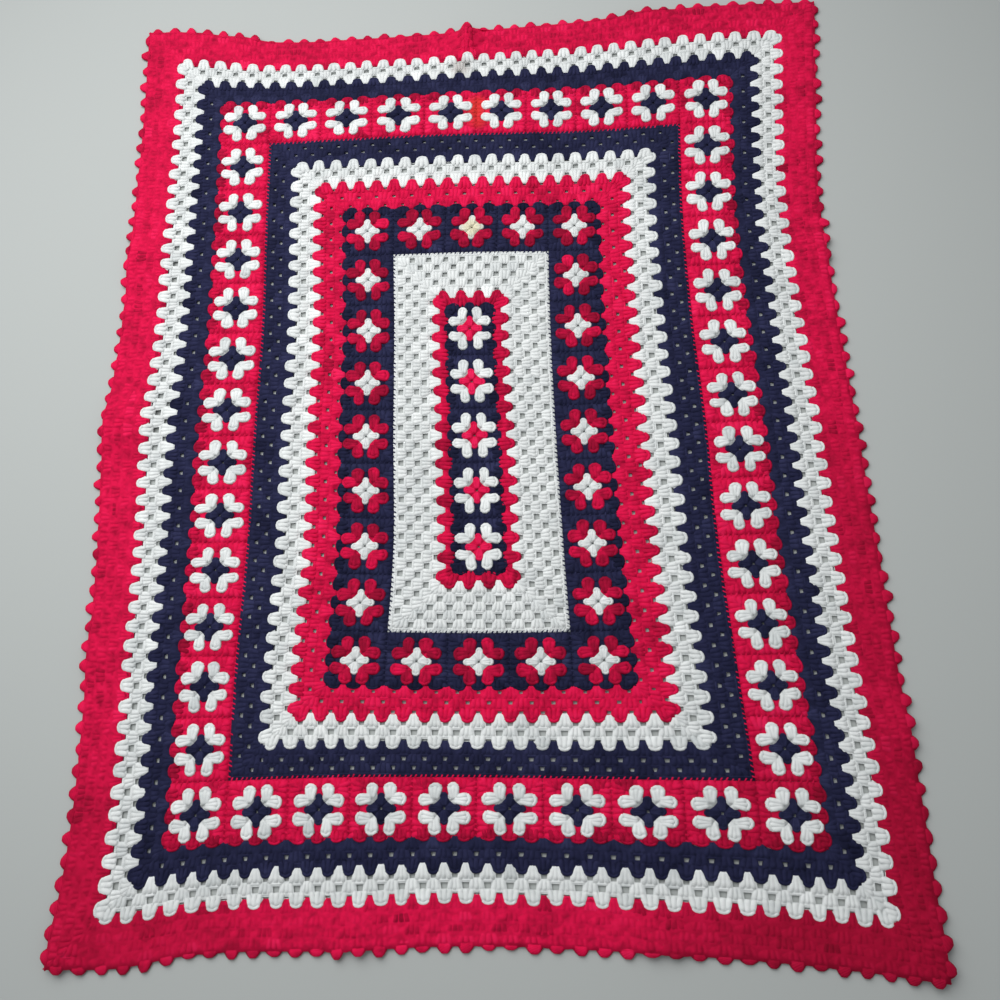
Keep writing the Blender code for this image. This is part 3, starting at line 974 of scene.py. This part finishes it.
def work_square(middle, straight_sides, spread, tones):
    """The clusters of one square, round by round."""
    looks = (
        # of each round: kind of cluster, width, shade, lift
        ("petal", STAR_WIDTH / PETAL_WIDTH, 0.0, DOME_LIFT),
        ("petal", spread / PETAL_WIDTH, 0.0, PETAL_LIFT),
        ("dome", FREE_WIDTH / DOME_WIDTH, FREE_SHADE, DOME_LIFT),
    )
    rounds = [[], [], []]
    for number in range(3):
        foot = SQUARE_FEET[number]
        foot_out = ROUND_ENDS[number] - SQUARE_DIP[0] * MM / SQUARE * (number > 0)
        heads = side_places(SQUARE_HEADS[number], ROUND_ENDS[number + 1])
        feet = side_places(SQUARE_HEADS[number], foot_out)
        if number:
            feet[[0, -1]] = [(-foot, foot), (foot, foot)]
        for side in SIDES:
            kind, width, shade, lift = looks[number]
            if number == 2 and side in straight_sides:
                kind, width, shade, lift = "sewn", SEWN_SWELL, 0.0, 0.0
            rounds[number].append(place_on_side(
                kind, side, feet, heads, FOOT, HEAD, middle, width=width,
                tone=tones[number] + shade, lift=lift,
            ))
    return rounds


def square_cloth(middle, straight_sides):
    """The cloth of one square: its last round's cells and the plate inside them."""
    inner, outer = (ROUND_ENDS[2],) * 2, (SQUARE_HALF,) * 2
    cells = []
    for side in SIDES:
        cells += cloth_of_side(
            side, inner, outer, (3, 3), CLOSED_GAP, (SHALLOW_DIP[1], SQUARE_DIP[1]),
            side in straight_sides, middle=middle,
        )
        near, far = PLATE_FROM, ROUND_ENDS[2]
        plate = np.array([[(-near, near), (near, near), (far, far), (-far, far)]])
        cells.append(lay_cells(PLATE, on_side(side, plate) + middle))
    return cells


def slab(outline):
    """A flat block. The outline is on a square's top side, in squares from its middle."""
    count = len(outline)
    walls = [(i, i + count, (i + 1) % count + count, (i + 1) % count) for i in range(count)]
    faces = [tuple(range(count)), tuple(range(2 * count - 1, count - 1, -1)), *walls]
    points = np.array(outline * 2)
    corners = np.array([corner for face in faces for corner in face])
    return Shape(points, corners, np.array([len(face) for face in faces]), points[corners] * SQUARE)


SLAB_TONE = -0.05
STAR_HEIGHTS = (0.0, 3.7)  # from its bottom to its top, in mm
BACK_HEIGHTS = (0.1, 3.4)


def lay_slab(shape, side, middle, low, high):
    """Lays a slab between two heights, in mm."""
    above = np.repeat([high * MM, low * MM], len(shape.points) // 2)
    points = place_in_frame(on_side(side, shape.points) + middle, above)
    return Copies(shape, points[None], np.array([SLAB_TONE]))


STAR = slab([(-0.02, 0.02), (0.02, 0.02), (0.105, 0.105), (0.0, 0.22), (-0.105, 0.105)])
BACK_RIGHT = slab([(0.10, 0.10), (0.24, 0.24), (0.075, 0.29), (0.055, 0.17)])
BACK_LEFT = slab([(-0.10, 0.10), (-0.055, 0.17), (-0.075, 0.29), (-0.24, 0.24)])


def eye_of_square(middle):
    """The filling under the first two rounds: a four-pointed star, and the backs of the petals."""
    star = [lay_slab(STAR, side, middle, *STAR_HEIGHTS) for side in SIDES]
    backs = [
        lay_slab(back, side, middle, *BACK_HEIGHTS) for side in SIDES for back in (BACK_RIGHT, BACK_LEFT)
    ]
    return star, backs


# %% Working the three sets of squares
def ring_of_squares(half_across, half_along):
    """The middles of a ring of squares, each with the sides on which it meets a seam."""
    squares = []
    for across in np.arange(-half_across, half_across + 1):
        for along in np.arange(-half_along, half_along + 1):
            on_end = abs(along) == half_along
            on_flank = abs(across) == half_across
            if on_end or on_flank:
                free = {"top": along == half_along, "bottom": along == -half_along,
                        "right": across == half_across, "left": across == -half_across}
                squares.append(((across, along), [side for side in SIDES if not free[side]]))
    return squares


strip = [
    ((0.0, 2.0 - number), ["top"] * (number > 0) + ["bottom"] * (number < 4)) for number in range(5)
]
SQUARES = (
    # name, squares, yarns of the three rounds
    ("centre_squares", strip, ("red_yarn", "white_yarn", "navy_yarn")),
    ("middle_squares", ring_of_squares(2, 4), ("white_yarn", "red_yarn", "navy_yarn")),
    ("outer_squares", ring_of_squares(4.5, 6.5), ("navy_yarn", "white_yarn", "red_yarn")),
)
WORDS = ("first", "second", "third")
RING_STEP = 0.05  # a starting ring gets its direction from a place this far up from its middle
for name, squares, yarns in SQUARES:
    if name == "centre_squares":
        nodes = [f"centre_square_{number}" for number in range(1, 6)]
    else:
        nodes = [f"{name}_{side}" for side in SIDES]
    worked, cells = [[], [], []], []
    for middle, straight_sides in squares:
        tones = [
            TONES.get(f"{name}_{word}_round", 0.0) + dice.normal(0, ROUND_TONE_SPREAD) for word in WORDS
        ]
        for number, copies in enumerate(work_square(middle, straight_sides, PETAL_SPREAD[name], tones)):
            worked[number] += copies
        cells += square_cloth(middle, straight_sides)
        for copies, slabs in zip(worked, eye_of_square(middle)):
            copies += slabs
    middles = np.array([middle for middle, _ in squares])
    worked[0].append(place_copies(
        "ring", middles, middles + (0, RING_STEP), (1, 0), 0.0, RING_STEP * SQUARE / MM
    ))
    pieces = [
        joined_mesh(f"{name}_{word}_round", copies, yarn)
        for word, copies, yarn in zip(WORDS, worked, yarns)
    ]
    cloth = joined_mesh(f"{name}_cloth", cells, yarns[2])
    finish_cloth(cloth)
    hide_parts(*nodes)
    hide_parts(*nodes)
    for piece in (*pieces, cloth):
        count_triangles(piece)
    print(name, "squares:", len(squares))

# %% [markdown]
# ## Seams
# The squares are sewn to each other and to the straight edges of the bands. A seam is a close row of
# slanted strands.

# %% Sewing the seams
STITCH_REACH = 0.04  # how far a stitch goes to each side of its seam, in squares
STITCH_SLANT = 0.45
SEAM_HALF = 0.46  # half the length of a seam between two squares


def sew(starts, ends, per_square):
    """Stitches along straight seams on the lattice."""
    copies = []
    for start, end in zip(np.asarray(starts, float), np.asarray(ends, float)):
        way = end - start
        length = np.hypot(*way)
        way /= length
        count = int(round(length * per_square))
        middles = start + way * ((np.arange(count) + 0.5) / count * length)[:, None]
        over = np.array([-way[1], way[0]]) * STITCH_REACH + way * STITCH_SLANT * STITCH_REACH
        copies.append(
            place_copies("stitch", middles - over, middles + over, way, -STITCH_HALF, STITCH_HALF)
        )
    return copies


def frame_of(half_across, half_along):
    """The four straight runs round a block, as starts and ends."""
    corners = [(-half_across, half_along), (half_across, half_along),
               (half_across, -half_along), (-half_across, -half_along)]
    return corners, corners[1:] + corners[:1]


def seams_between(squares):
    """The seams between neighbouring squares of a ring."""
    places = {middle for middle, _ in squares}
    starts, ends = [], []
    for across, along in sorted(places):
        if (across + 1, along) in places:
            starts.append((across + 0.5, along - SEAM_HALF))
            ends.append((across + 0.5, along + SEAM_HALF))
        if (across, along + 1) in places:
            starts.append((across - SEAM_HALF, along + 0.5))
            ends.append((across + SEAM_HALF, along + 0.5))
    return starts, ends


SEAMS = (
    # name, runs, yarn, stitches per square
    ("centre_strip_seams", seams_between(SQUARES[0][1]), "navy_yarn", 12),
    ("middle_square_seams", seams_between(SQUARES[1][1]), "navy_yarn", 12),
    ("outer_square_seams", seams_between(SQUARES[2][1]), "red_yarn", 12),
    ("middle_joining_row", frame_of(1.495, 3.495), "navy_yarn", 12),
    ("outer_joining_row", frame_of(3.985, 5.985), "red_yarn", 12),
    ("white_panel_edge", frame_of(1.462, 3.462), "white_yarn", 18),
)
for name, (starts, ends), yarn, per_square in SEAMS:
    count_triangles(joined_mesh(name, sew(starts, ends, per_square), yarn))
print("triangles in all:", sum(triangle_counts.values()))

# %% [markdown]
# ## Floor and light
# The blanket lies on a plain pale floor. Soft daylight comes from the upper left, as from a window, and
# falls off towards the lower right.

# %% Floor, softbox and sky
FLOOR_SIZE = 12
SKY_STRENGTH = 0.38
WINDOW_PLACE = Vector((-0.6, 0.68, 1.4))
WINDOW_AIM = Vector((-0.08, 0.02, 0))

deselect_all()
bpy.ops.mesh.primitive_plane_add(size=FLOOR_SIZE, location=(0, 0, 0))
floor = bpy.context.object
floor.name = "floor"
floor_paint = bpy.data.materials.new("pale_matt_floor")
floor_paint.use_nodes = True
floor_shader = floor_paint.node_tree.nodes["Principled BSDF"]
floor_shader.inputs["Base Color"].default_value = linear("#AAAEAC")
floor_shader.inputs["Roughness"].default_value = 0.9
floor.data.materials.append(floor_paint)

window = add_object("window_light", bpy.data.lights.new("window_light", "AREA"))
window.data.size = 2.0
window.data.energy = 21.5
window.data.spread = radians(120)
window.location = WINDOW_PLACE
window.rotation_euler = (WINDOW_AIM - WINDOW_PLACE).to_track_quat("-Z", "Y").to_euler()

world = bpy.data.worlds.new("soft_sky")
bpy.context.scene.world = world
world.use_nodes = True
sky = world.node_tree.nodes["Background"]
sky.inputs["Color"].default_value = linear("#F1F4F7")
sky.inputs["Strength"].default_value = SKY_STRENGTH
bpy.context.scene.view_settings.view_transform = "Standard"
